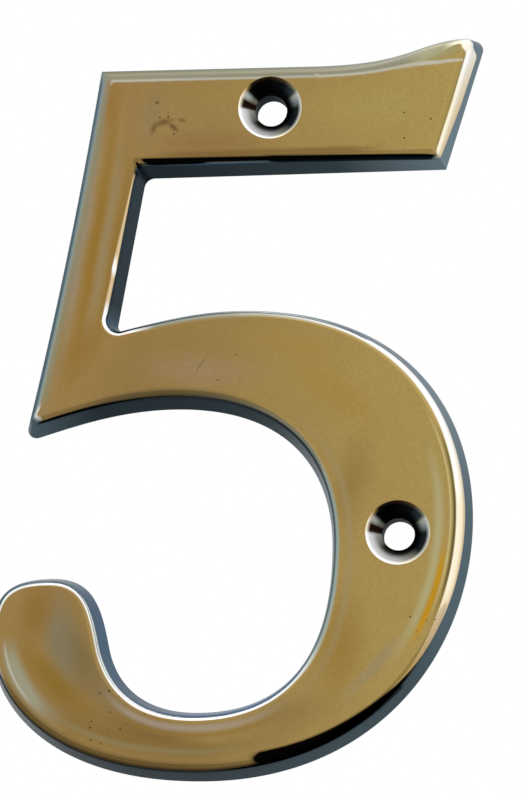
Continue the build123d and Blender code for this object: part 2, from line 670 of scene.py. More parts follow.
@dataclass
class CastMesh:
    """Collects the figure's points and faces, with what its finish needs to know of each point."""

    middle: np.ndarray
    # Edges that turn by more degrees than this stay sharp
    crease_angle: float = 32.0
    # Least distance of a flat surface's inner points from its rings, as a share of their spacing
    clearance: float = 0.45
    # The back is marked as this far past its own rim
    back_step: float = 1.0
    # Points nearer than this are one, in millimetres
    weld: float = 1e-7
    spots: list[np.ndarray] = field(default_factory=list)
    edges: list[float] = field(default_factory=list)
    stations: list[float] = field(default_factory=list)
    holes: list[float] = field(default_factory=list)
    turns: list[float] = field(default_factory=list)
    faces: list[tuple[int, ...]] = field(default_factory=list)
    flat: list[int] = field(default_factory=list)

    def ring(
        self, points: np.ndarray, depth: float, marks: np.ndarray | float, stations: np.ndarray | float
    ) -> list[int]:
        """Add points at one depth.

        Args:
            points: Places on the outline's grid.
            depth: Depth from the wall.
            marks: Distance of each point from the face's edge, measured into the face.
            stations: Station of the nearest point of the outline.

        Returns:
            Numbers of the new points.
        """
        start, count = len(self.spots), len(points)
        self.spots += [np.array((x, -depth, z)) for x, z in points]
        self.edges += np.broadcast_to(marks, count).tolist()
        self.stations += np.broadcast_to(stations, count).tolist()
        return list(range(start, start + count))

    def strip(self, first: list[int], second: list[int]) -> None:
        """Join two rings by a band of faces.

        Args:
            first: Ring along one side of the band.
            second: Ring along its other side, with as many points.
        """
        count = len(first)
        for k in range(count):
            self.faces.append((first[k], first[(k + 1) % count], second[(k + 1) % count], second[k]))

    def cap(self, rim: list[int], openings: list[list[int]], depth: float, pitch: float, front: bool) -> None:
        """Fill the figure's outline with a flat, evenly divided surface round its openings.

        Args:
            rim: Ring that bounds the surface.
            openings: Rings of the holes through it.
            depth: Depth from the wall.
            pitch: Spacing of the points inside.
            front: True for the face and False for the back.
        """
        flat, *cuts = (np.array([self.spots[k][[0, 2]] for k in ring]) for ring in (rim, *openings))

        def on_metal(points: np.ndarray) -> np.ndarray:
            """Tell which points lie on the surface.

            Args:
                points: Points to test.

            Returns:
                True for each point within the rim and outside the openings.
            """
            found = inside(points, flat)
            for cut in cuts:
                found &= ~inside(points, cut)
            return found

        low, high = flat.min(axis=0), flat.max(axis=0)
        columns = np.arange(low[0], high[0], pitch)
        # Rows of a triangular grid, every other one moved by half a step
        levels = np.arange(low[1], high[1], pitch * math.sqrt(0.75))
        grid = np.array([(x + pitch / 2 * (k % 2), z) for k, z in enumerate(levels) for x in columns])
        grid = grid[on_metal(grid)]
        for ring in (flat, *cuts):
            grid = grid[gaps(grid, ring).min(axis=1) > self.clearance * pitch]
        apart = gaps(grid, flat)
        ways = np.array([self.stations[k] for k in rim])
        beyond = self.edges[rim[0]] - self.back_step
        marks = apart.min(axis=1) if front else beyond
        numbers = [k for ring in (rim, *openings) for k in ring]
        numbers += self.ring(grid, depth, marks, ways[apart.argmin(axis=1)])
        for ring, cut in zip(openings, cuts):
            reach = gaps(cut, flat)
            for k, away, near in zip(ring, reach.min(axis=1), reach.argmin(axis=1)):
                self.edges[k] = float(away) if front else beyond
                self.stations[k] = float(ways[near])
        places = [Vector(self.spots[k][[0, 2]]) for k in numbers]
        bounds, start = [], 0
        for ring in (rim, *openings):
            bounds += [(start + k, start + (k + 1) % len(ring)) for k in range(len(ring))]
            start += len(ring)
        _, _, made, sources, _, _ = delaunay_2d_cdt(places, bounds, [], 1, self.weld)
        corners = np.array([[sources[k][0] for k in face] for face in made])
        spots = np.array(places)
        for a, b, c in corners[on_metal(spots[corners].mean(axis=1))]:
            one, two = spots[b] - spots[a], spots[c] - spots[a]
            ahead = (one[0] * two[1] - one[1] * two[0] > 0) == front
            order = (a, b, c) if ahead else (a, c, b)
            if front:
                self.flat.append(len(self.faces))
            self.faces.append(tuple(numbers[k] for k in order))

    def mark_holes(self, holes: Sequence[ScrewHole]) -> None:
        """Note how far each point lies outside the mouth of its nearest hole, and at what turn round it.

        Args:
            holes: The screw holes.
        """
        flat = np.array(self.spots)[:, [0, 2]]
        steps = np.array([flat - np.array(hole.place) for hole in holes])
        away = np.linalg.norm(steps, axis=2) - np.array([[hole.mouth / 2] for hole in holes])
        step = steps[away.argmin(axis=0), np.arange(len(flat))]
        self.holes = away.min(axis=0).tolist()
        self.turns = (np.degrees(np.arctan2(step[:, 1], step[:, 0])) % 360).tolist()

    def finish(self, name: str) -> bpy.types.Object:
        """Turn what was collected into an object.

        Args:
            name: Name of the object.

        Returns:
            The object, smooth but for its sharp edges.
        """
        mesh = bpy.data.meshes.new(name)
        moved = np.array(self.spots) - (self.middle[0], 0, self.middle[1])
        mesh.from_pydata((moved * MM).tolist(), [], self.faces)
        Kind.NUMBER.hang(mesh, Mark.EDGE.value, self.edges)
        Kind.NUMBER.hang(mesh, Mark.HOLE.value, self.holes)
        mesh.shade_smooth()
        mesh.set_sharp_from_angle(angle=math.radians(self.crease_angle))
        # The face stays a flat mirror right up to the roll and to the lips of the holes
        normals = np.empty(3 * len(mesh.loops), np.float32)
        mesh.corner_normals.foreach_get("vector", normals)
        normals = normals.reshape(-1, 3)
        for number in self.flat:
            normals[list(mesh.polygons[number].loop_indices)] = (0.0, -1.0, 0.0)
        mesh.normals_split_custom_set(normals)
        return put(name, mesh)


@dataclass
class HouseNumber:
    """The cast figure: its drafted flank, rolled edge, polished face and two screw holes."""

    outline: FigureOutline = field(default_factory=FigureOutline)
    holes: tuple[ScrewHole, ...] = (ScrewHole((28.5, 67.8)), ScrewHole((41.2, 24.2)))
    flank_rows: int = 4
    roll_rows: int = 12
    face_pitch: float = 0.5
    back_pitch: float = 2.5
    # A narrow margin keeps the flank's tone off the back
    back_margin: float = 0.1
    back_mark: float = -5.2
    hole_mark: float = 4.0
    name: str = "cast_figure"
    cast: CastMesh = field(init=False)

    def slices(self) -> list[Triple]:
        """Cut the edge into slices, from the wall up the flank and round the roll to the face.

        Returns:
            Depth from the wall, inset from the back outline, and distance along the surface from the
            face's edge, which counts down from nought.
        """
        shape = self.outline
        roll = []
        for row in range(self.roll_rows + 1):
            turn = math.radians(shape.draft_angle + (90 - shape.draft_angle) * row / self.roll_rows)
            depth = shape.roll_depth + shape.roll_radius * math.sin(turn)
            inset = shape.roll_inset - shape.roll_radius * math.cos(turn)
            roll.append((depth, inset, shape.roll_radius * (turn - math.pi / 2)))
        depth, inset, mark = roll[0]
        shares = [row / self.flank_rows for row in range(self.flank_rows)]
        slant = math.hypot(depth, inset)
        return [(depth * k, inset * k, mark - slant * (1 - k)) for k in shares] + roll

    def build(self) -> bpy.types.Object:
        """Build the figure's mesh and hang its marks on it.

        Returns:
            The new object, in the frame's place.
        """
        shape = self.outline
        cast = self.cast = CastMesh(shape.middle())
        rings = []
        for depth, inset, mark in self.slices():
            points, stations = shape.ring(inset)
            rings.append(cast.ring(points, depth, mark, stations))
        for low, high in zip(rings, rings[1:]):
            cast.strip(low, high)
        mouths, bores = [], []
        for hole in self.holes:
            profile = hole.profile(shape.thickness)
            made = [cast.ring(hole.circle(radius), depth, self.hole_mark, 0.0) for radius, depth in profile]
            for high, low in zip(made, made[1:]):
                cast.strip(high, low)
            mouths.append(made[0])
            bores.append(made[-1])
        cast.cap(rings[-1], mouths, shape.thickness, self.face_pitch, front=True)
        points, stations = shape.ring(self.back_margin)
        back = cast.ring(points, 0.0, self.back_mark, stations)
        cast.strip(back, rings[0])
        cast.cap(back, bores, 0.0, self.back_pitch, front=False)
        cast.mark_holes(self.holes)
        return cast.finish(self.name)

    def dress(self, figure: bpy.types.Object, finish: BuffedPlate) -> None:
        """Give the figure its finish, and its mesh the painted reflections that change along the edge and
        round the countersinks.

        Args:
            figure: Object that build() made.
            finish: Finish of the metal.
        """
        along = finish.along(np.array(self.cast.stations))
        around = finish.around(np.array(self.cast.turns), np.array(self.cast.holes))
        for name, kind, values in (*along, around):
            kind.hang(figure.data, name, values)
        figure.data.materials.append(finish.material())


@dataclass(frozen=True)
class Streak:
    """A soft patch of another tone on the face, in millimetres from the figure's middle: most are streaks of
    painted reflection, and a few make a stain and a hair scratch.
    """

    place: Pair
    slope: float
    length: float
    width: float
    tone: str
    strength: float


@dataclass(frozen=True)
class EdgeBand:
    """A soft line of painted reflection that follows the edge of the face, in millimetres, between two
    stations.
    """

    inset: float
    width: float
    tone: str
    strength: float
    start: float
    stop: float
    fade: float
    drift: float = 0.0
    bend: float = 2.0

    def insets(self, stations: np.ndarray) -> np.ndarray:
        """Distance of the line from the edge at each station, which may drift towards the line's start."""
        left = np.clip((self.stop - stations) / (self.stop - self.start), 0, 1)
        return self.inset + self.drift * left**self.bend

    def share(self, stations: np.ndarray) -> np.ndarray:
        """Work out how strongly the line shows.

        Args:
            stations: Stations along the outline.

        Returns:
            Shares from 0 to 1.
        """
        rise = np.clip((stations - self.start + self.fade) / (2 * self.fade), 0, 1)
        fall = np.clip((self.stop + self.fade - stations) / (2 * self.fade), 0, 1)
        return rise**2 * (3 - 2 * rise) * fall**2 * (3 - 2 * fall)


@dataclass(frozen=True)
class EdgeLook:
    """How the edge's painted reflections look at one station of the outline.

    The roll's painted reflection goes from its inner tone to its outer one between two distances from the
    face's edge, in millimetres, and the flank's painted slate reflection follows.
    """

    station: float
    inner: Tone
    outer: Tone
    begins: float
    ends: float
    flank: Tone
    soft: float = 0.06


@dataclass(frozen=True)
class SinkLook:
    """Painted reflections on a countersink's lip, wall and root at one turn round it.

    The turn is in degrees, anticlockwise from the right.
    """

    turn: float
    lip: Tone
    wall: Tone
    root: Tone


@dataclass(frozen=True)
class PitPatch:
    """A patch of the face with casting pits in it, in millimetres from the figure's middle."""

    place: Pair
    reach: float
    share: float


# Painted reflections along the edge, station by station: the roll's pale glints and dark bands, and the
# flank's slate
PAINTED_EDGE_REFLECTIONS = (
    # From the ball's end along the bottom of the bowl
    EdgeLook(0.00, Tone.ASH, Tone.MIST, -0.35, -0.55, Tone.NIGHT_SLATE),
    EdgeLook(0.35, Tone.BRONZE, Tone.DARK_UMBER, -0.60, -0.95, Tone.JET_SLATE, 0.12),
    EdgeLook(0.70, Tone.UMBER, Tone.DARK_UMBER, -0.50, -0.95, Tone.JET_SLATE, 0.12),
    EdgeLook(1.00, Tone.UMBER, Tone.OXBLOOD, -0.55, -0.95, Tone.NIGHT_SLATE, 0.12),
    # Right side of the bowl, dark below and bright above
    EdgeLook(1.35, Tone.UMBER, Tone.DARK_UMBER, -0.20, -0.95, Tone.SLATE),
    EdgeLook(1.55, Tone.STRAW, Tone.STRAW, -0.60, -0.95, Tone.SLATE),
    EdgeLook(1.68, Tone.PEACH, Tone.SAND, -0.45, -1.20, Tone.SLATE),
    EdgeLook(1.80, Tone.CREAM, Tone.PEACH, -0.38, -1.60, Tone.SLATE),
    EdgeLook(2.00, Tone.CREAM, Tone.PEACH, -0.36, -1.80, Tone.SLATE),
    EdgeLook(2.35, Tone.WHITE, Tone.WHITE, -0.45, -1.40, Tone.PALE_SLATE, 0.15),
    EdgeLook(2.70, Tone.PEARL, Tone.WHITE, -0.42, -0.80, Tone.DUSK_BLUE, 0.15),
    # Crown of the bowl, down to the crotch
    EdgeLook(2.95, Tone.STONE, Tone.PEARL, -0.30, -0.95, Tone.PALE_SLATE, 0.20),
    EdgeLook(3.05, Tone.SAGE, Tone.ASH, -0.15, -0.95, Tone.MIST, 0.25),
    EdgeLook(3.40, Tone.SAGE, Tone.MIST, -0.20, -0.85, Tone.MIST, 0.25),
    EdgeLook(3.80, Tone.SAGE, Tone.MIST, -0.25, -0.80, Tone.MIST, 0.22),
    EdgeLook(3.95, Tone.WHITE, Tone.WHITE, -0.35, -0.65, Tone.DUSK_BLUE),
    # Inner edge of the stem, with a glint a third of the way up
    EdgeLook(4.04, Tone.WHITE, Tone.WHITE, -0.40, -0.85, Tone.DARK_SLATE),
    EdgeLook(4.12, Tone.SAND, Tone.SAND, -0.42, -0.88, Tone.NIGHT_SLATE, 0.12),
    EdgeLook(4.26, Tone.SAND, Tone.SAND, -0.50, -0.92, Tone.NIGHT_SLATE, 0.12),
    EdgeLook(4.32, Tone.WHITE, Tone.WHITE, -0.40, -0.98, Tone.NIGHT_SLATE, 0.08),
    EdgeLook(4.37, Tone.WHITE, Tone.PEACH, -0.45, -0.96, Tone.NIGHT_SLATE, 0.08),
    EdgeLook(4.42, Tone.SAND, Tone.SAND, -0.48, -0.95, Tone.NIGHT_SLATE, 0.10),
    EdgeLook(4.60, Tone.SAND, Tone.SAND, -0.60, -0.95, Tone.NIGHT_SLATE, 0.12),
    EdgeLook(4.92, Tone.PEACH, Tone.SAND, -0.82, -0.98, Tone.NIGHT_SLATE),
    # Underside of the flag
    EdgeLook(5.00, Tone.UMBER, Tone.SLATE, -0.85, -1.20, Tone.NIGHT_SLATE, 0.10),
    EdgeLook(5.10, Tone.SLATE, Tone.DUSK_BLUE, -0.95, -1.40, Tone.NIGHT_SLATE, 0.10),
    EdgeLook(5.65, Tone.SLATE, Tone.DUSK_BLUE, -0.95, -1.40, Tone.DARK_SLATE, 0.10),
    EdgeLook(5.97, Tone.DARK_SLATE, Tone.SLATE, -0.95, -1.30, Tone.PALE_SLATE, 0.10),
    # End of the flag and its tip
    EdgeLook(6.03, Tone.CREAM, Tone.PEACH, -0.70, -2.00, Tone.PALE_SLATE, 0.08),
    EdgeLook(6.50, Tone.CREAM, Tone.PEACH, -0.75, -3.00, Tone.PALE_SLATE, 0.08),
    EdgeLook(6.95, Tone.WHITE, Tone.CREAM, -0.60, -3.20, Tone.PALE_SLATE, 0.08),
    EdgeLook(7.00, Tone.CREAM, Tone.PEARL, -0.20, -1.40, Tone.PALE_SLATE, 0.10),
    # Top of the flag
    EdgeLook(7.10, Tone.OLIVE, Tone.ASH, 0.45, -1.40, Tone.ASH, 0.12),
    EdgeLook(7.20, Tone.OLIVE, Tone.ASH, 0.85, -1.40, Tone.ASH, 0.12),
    EdgeLook(7.30, Tone.OLIVE, Tone.ASH, 0.90, -1.40, Tone.ASH, 0.12),
    EdgeLook(7.50, Tone.SAGE, Tone.ASH, 0.65, -1.40, Tone.ASH, 0.12),
    EdgeLook(8.00, Tone.SAGE, Tone.STONE, 0.25, -1.40, Tone.ASH, 0.12),
    EdgeLook(8.97, Tone.SAGE, Tone.SAGE, 0.25, -1.40, Tone.ASH, 0.12),
    # Outer edge of the stem
    EdgeLook(9.03, Tone.SAGE, Tone.PALE_SLATE, -0.05, -0.60, Tone.SLATE, 0.22),
    EdgeLook(9.97, Tone.SAGE, Tone.GREY_GREEN, -0.05, -0.42, Tone.SLATE, 0.15),
    EdgeLook(9.99, Tone.PEARL, Tone.MIST, -0.12, -0.45, Tone.SLATE, 0.12),
    # Foot, and over the hollow of the bowl
    EdgeLook(10.03, Tone.BRONZE, Tone.DARK_UMBER, -0.60, -0.95, Tone.SLATE, 0.12),
    EdgeLook(10.50, Tone.BRONZE, Tone.DARK_UMBER, -0.50, -0.95, Tone.NIGHT_SLATE, 0.15),
    EdgeLook(11.00, Tone.BRONZE, Tone.DARK_UMBER, -0.40, -0.90, Tone.NIGHT_SLATE, 0.18),
    EdgeLook(11.40, Tone.SAGE, Tone.SAGE, -0.30, -0.70, Tone.NIGHT_SLATE, 0.20),
    # Right side and bottom of the hollow
    EdgeLook(12.00, Tone.GREY_GREEN, Tone.GREY_GREEN, -0.10, -0.62, Tone.DARK_SLATE, 0.22),
    EdgeLook(12.35, Tone.STONE, Tone.GREY_GREEN, -0.15, -0.80, Tone.DARK_SLATE, 0.22),
    EdgeLook(12.55, Tone.PEARL, Tone.PEARL, -0.36, -0.68, Tone.DUSK_BLUE, 0.12),
    EdgeLook(12.75, Tone.WHITE, Tone.WHITE, -0.34, -0.72, Tone.BLUE),
    # Neck, and round the ball
    EdgeLook(13.40, Tone.WHITE, Tone.WHITE, -0.36, -0.85, Tone.DUSK_BLUE),
    EdgeLook(13.80, Tone.PEARL, Tone.PEARL, -0.55, -1.10, Tone.DUSK_BLUE, 0.14),
    EdgeLook(14.00, Tone.PEARL, Tone.ASH, -0.60, -1.12, Tone.DUSK_BLUE, 0.16),
    EdgeLook(14.50, Tone.PEARL, Tone.PEARL, -0.50, -0.90, Tone.DUSK_BLUE, 0.12),
    EdgeLook(15.00, Tone.WHITE, Tone.WHITE, -0.38, -0.65, Tone.PALE_SLATE, 0.10),
    EdgeLook(15.50, Tone.PEARL, Tone.PEARL, -0.35, -0.60, Tone.SLATE),
    EdgeLook(16.00, Tone.ASH, Tone.MIST, -0.35, -0.55, Tone.NIGHT_SLATE),
)

# Painted reflections in the countersinks, turn by turn: bright where they show white surroundings, black
# where they show dark
PAINTED_SINK_REFLECTIONS = (
    SinkLook(0, Tone.ASH, Tone.NIGHT_SLATE, Tone.REFLECTED_BLACK),
    SinkLook(14, Tone.ASH, Tone.MIST, Tone.REFLECTED_BLACK),
    SinkLook(26, Tone.ASH, Tone.ASH, Tone.REFLECTED_BLACK),
    SinkLook(34, Tone.SAGE, Tone.DARK_SLATE, Tone.REFLECTED_BLACK),
    SinkLook(60, Tone.UMBER, Tone.JET_SLATE, Tone.REFLECTED_BLACK),
    SinkLook(90, Tone.OXBLOOD, Tone.REFLECTED_BLACK, Tone.REFLECTED_BLACK),
    SinkLook(128, Tone.DARK_UMBER, Tone.REFLECTED_BLACK, Tone.REFLECTED_BLACK),
    SinkLook(140, Tone.STRAW, Tone.JET_SLATE, Tone.REFLECTED_BLACK),
    SinkLook(148, Tone.PEACH, Tone.PEARL, Tone.STONE),
    SinkLook(156, Tone.CREAM, Tone.ASH, Tone.SAGE),
    SinkLook(160, Tone.CREAM, Tone.OXBLOOD, Tone.OXBLOOD),
    SinkLook(176, Tone.CREAM, Tone.OXBLOOD, Tone.OXBLOOD),
    SinkLook(181, Tone.WHITE, Tone.WHITE, Tone.ASH),
    SinkLook(205, Tone.WHITE, Tone.WHITE, Tone.STONE),
    SinkLook(222, Tone.WHITE, Tone.WHITE, Tone.DARK_UMBER),
    SinkLook(262, Tone.WHITE, Tone.WHITE, Tone.REFLECTED_BLACK),
    SinkLook(292, Tone.CREAM, Tone.ASH, Tone.REFLECTED_BLACK),
    SinkLook(318, Tone.ASH, Tone.NIGHT_SLATE, Tone.REFLECTED_BLACK),
    SinkLook(342, Tone.ASH, Tone.NIGHT_SLATE, Tone.REFLECTED_BLACK),
)

# Soft lines of painted reflection along the face's edge, dark and pale
PAINTED_REFLECTION_BANDS = (
    EdgeBand(0.33, 0.24, "#B2B2A4", 1.0, 8.00, 9.00, 0.012),
    EdgeBand(0.33, 0.26, "#BDB9A8", 1.0, 7.16, 8.00, 0.012, 1.15),
    EdgeBand(1.25, 0.75, "#AFA67A", 0.9, 1.62, 2.15, 0.15),
    EdgeBand(0.52, 0.50, "#BD8C1E", 1.1, 1.64, 1.88, 0.06),
    EdgeBand(0.08, 0.18, "#C2B078", 1.1, 1.76, 2.30, 0.10),
    EdgeBand(-0.24, 0.18, "#655C38", 1.2, 1.76, 2.25, 0.10),
    EdgeBand(-0.60, 0.14, "#8A8050", 0.8, 6.05, 6.95, 0.04),
    EdgeBand(1.00, 0.60, "#9A8B66", 0.5, 11.5, 12.5, 0.30),
    EdgeBand(0.45, 0.60, "#A4988A", 0.7, 12.75, 13.55, 0.20),
    EdgeBand(1.15, 0.40, "#8F7038", 0.6, 12.70, 13.50, 0.20),
    EdgeBand(1.50, 1.60, "#82693A", 0.7, 0.45, 1.10, 0.20),
    EdgeBand(0.90, 1.30, "#95927B", 1.2, 0.08, 0.46, 0.14),
    EdgeBand(0.45, 0.22, "#B4B2A2", 0.8, 0.06, 0.36, 0.08),
    EdgeBand(1.10, 0.50, "#8C7E58", 0.7, 0.55, 1.05, 0.15),
    EdgeBand(-0.35, 0.70, "#5A4828", 0.6, 0.25, 1.10, 0.15),
    EdgeBand(-0.35, 0.60, "#5E5238", 0.7, 10.55, 11.20, 0.25),
    EdgeBand(0.00, 0.60, "#7A5E34", 0.8, 5.10, 5.80, 0.10),
    EdgeBand(-1.08, 0.40, "#060505", 3.0, 5.02, 5.985, 0.012, 0.50, 0.5),
    EdgeBand(-1.00, 0.34, "#060505", 3.0, 5.03, 5.20, 0.04),
    EdgeBand(-1.45, 0.70, "#060505", 3.0, 5.44, 5.97, 0.025, 0.58, 0.7),
    EdgeBand(-1.40, 0.90, "#050403", 4.0, 1.12, 1.50, 0.02, 1.25, 0.6),
    EdgeBand(0.10, 0.45, "#85826A", 0.8, 9.02, 9.97, 0.04),
)

# The face's streaks are painted reflection of the surroundings; the stain and the hair scratch at the end are
# marks of the metal
STREAKS = (
    # Stem
    Streak((-15.6, 16.4), 80.5, 20.0, 0.75, "#93836A", 1.0),
    Streak((-14.3, 16.4), 80.7, 20.0, 0.9, "#8F6E30", 1.1),
    Streak((-13.3, 16.4), 80.5, 16.0, 0.75, "#92805C", 0.9),
    Streak((-12.3, 16.0), 80.5, 14.0, 0.7, "#947232", 0.8),
    Streak((-18.6, 2.0), 77.0, 8.0, 0.7, "#908058", 0.7),
    Streak((-15.5, 5.5), 60.0, 6.0, 2.6, "#8E6C34", 0.8),
    # Ball and the bottom of the bowl
    Streak((-17.2, -24.0), 103.0, 7.0, 2.8, "#80765B", 1.2),
    Streak((-15.1, -26.0), 108.0, 5.5, 1.9, "#7A6A42", 0.9),
    Streak((-12.9, -29.4), 135.0, 6.0, 2.0, "#84704E", 0.8),
    Streak((-19.8, -21.0), 80.0, 4.5, 2.6, "#886A36", 1.0),
    Streak((-14.6, -20.2), 95.0, 3.0, 1.3, "#967C4C", 0.9),
    Streak((-18.0, -28.0), 136.0, 8.0, 2.0, "#886A2C", 1.0),
    Streak((-8.5, -33.3), -17.0, 9.5, 2.2, "#80673A", 1.0),
    # Crown and right side of the bowl
    Streak((-3.5, 3.2), -5.0, 9.0, 2.8, "#9C8361", 0.7),
    Streak((7.0, 5.6), -12.0, 9.0, 1.8, "#A58746", 0.6),
    Streak((10.0, 1.0), -40.0, 9.0, 3.4, "#A4853F", 0.6),
    Streak((18.0, -4.0), -70.0, 11.0, 3.2, "#A69152", 0.7),
    # Flag
    Streak((-6.0, 29.0), 0.0, 11.0, 3.2, "#9A7E50", 0.5),
    Streak((15.0, 30.0), 3.0, 11.0, 3.8, "#A99556", 0.75),
    Streak((-12.6, 30.5), 86.0, 5.5, 1.3, "#8E6C36", 0.8),
    Streak((-10.5, 29.8), 85.0, 6.0, 1.5, "#937449", 0.9),
    Streak((-3.0, 26.6), 0.0, 10.0, 1.9, "#907148", 0.9),
    Streak((20.2, 35.3), 14.0, 4.5, 1.1, "#A39C6E", 1.2),
    Streak((20.6, 34.45), 6.8, 5.0, 0.28, "#C2BEAC", 1.4),
    Streak((-8.5, 29.8), 80.0, 5.0, 1.8, "#8C7752", 0.8),
    # Inner part of the bowl
    Streak((10.4, -25.0), 80.0, 8.0, 3.4, "#987A3B", 0.9),
    Streak((11.6, -8.5), 75.0, 7.0, 2.8, "#957B44", 0.9),
    Streak((5.0, -31.6), 15.0, 6.0, 2.6, "#907848", 0.9),
    Streak((13.6, -27.0), 48.0, 6.5, 1.0, "#988A66", 0.8),
    # Stain on the flag
    Streak((-7.3, 28.7), 15.0, 1.5, 0.55, "#5E4828", 0.8),
    Streak((-6.3, 28.2), -35.0, 0.9, 0.45, "#4E3A20", 0.8),
    Streak((-8.2, 28.1), 75.0, 0.9, 0.4, "#5A4628", 0.7),
    Streak((-5.4, 29.0), 0.0, 0.7, 0.35, "#5A4628", 0.6),
    Streak((-7.9, 30.9), 0.0, 0.35, 0.3, "#4E3A20", 0.8),
    # Hair scratch
    Streak((-3.4, 3.9), 63.0, 1.9, 0.07, "#5E4C30", 0.9),
)

PIT_PATCHES = (
    PitPatch((-7.5, 29.2), 3.2, 0.55),
    PitPatch((16.0, -10.9), 2.0, 0.35),
    PitPatch((-12.0, -31.8), 5.0, 0.45),
    PitPatch((17.2, -21.5), 3.6, 0.4),
    PitPatch((17.5, 29.0), 3.2, 0.12),
    PitPatch((-3.0, 1.0), 6.0, 0.12),
)


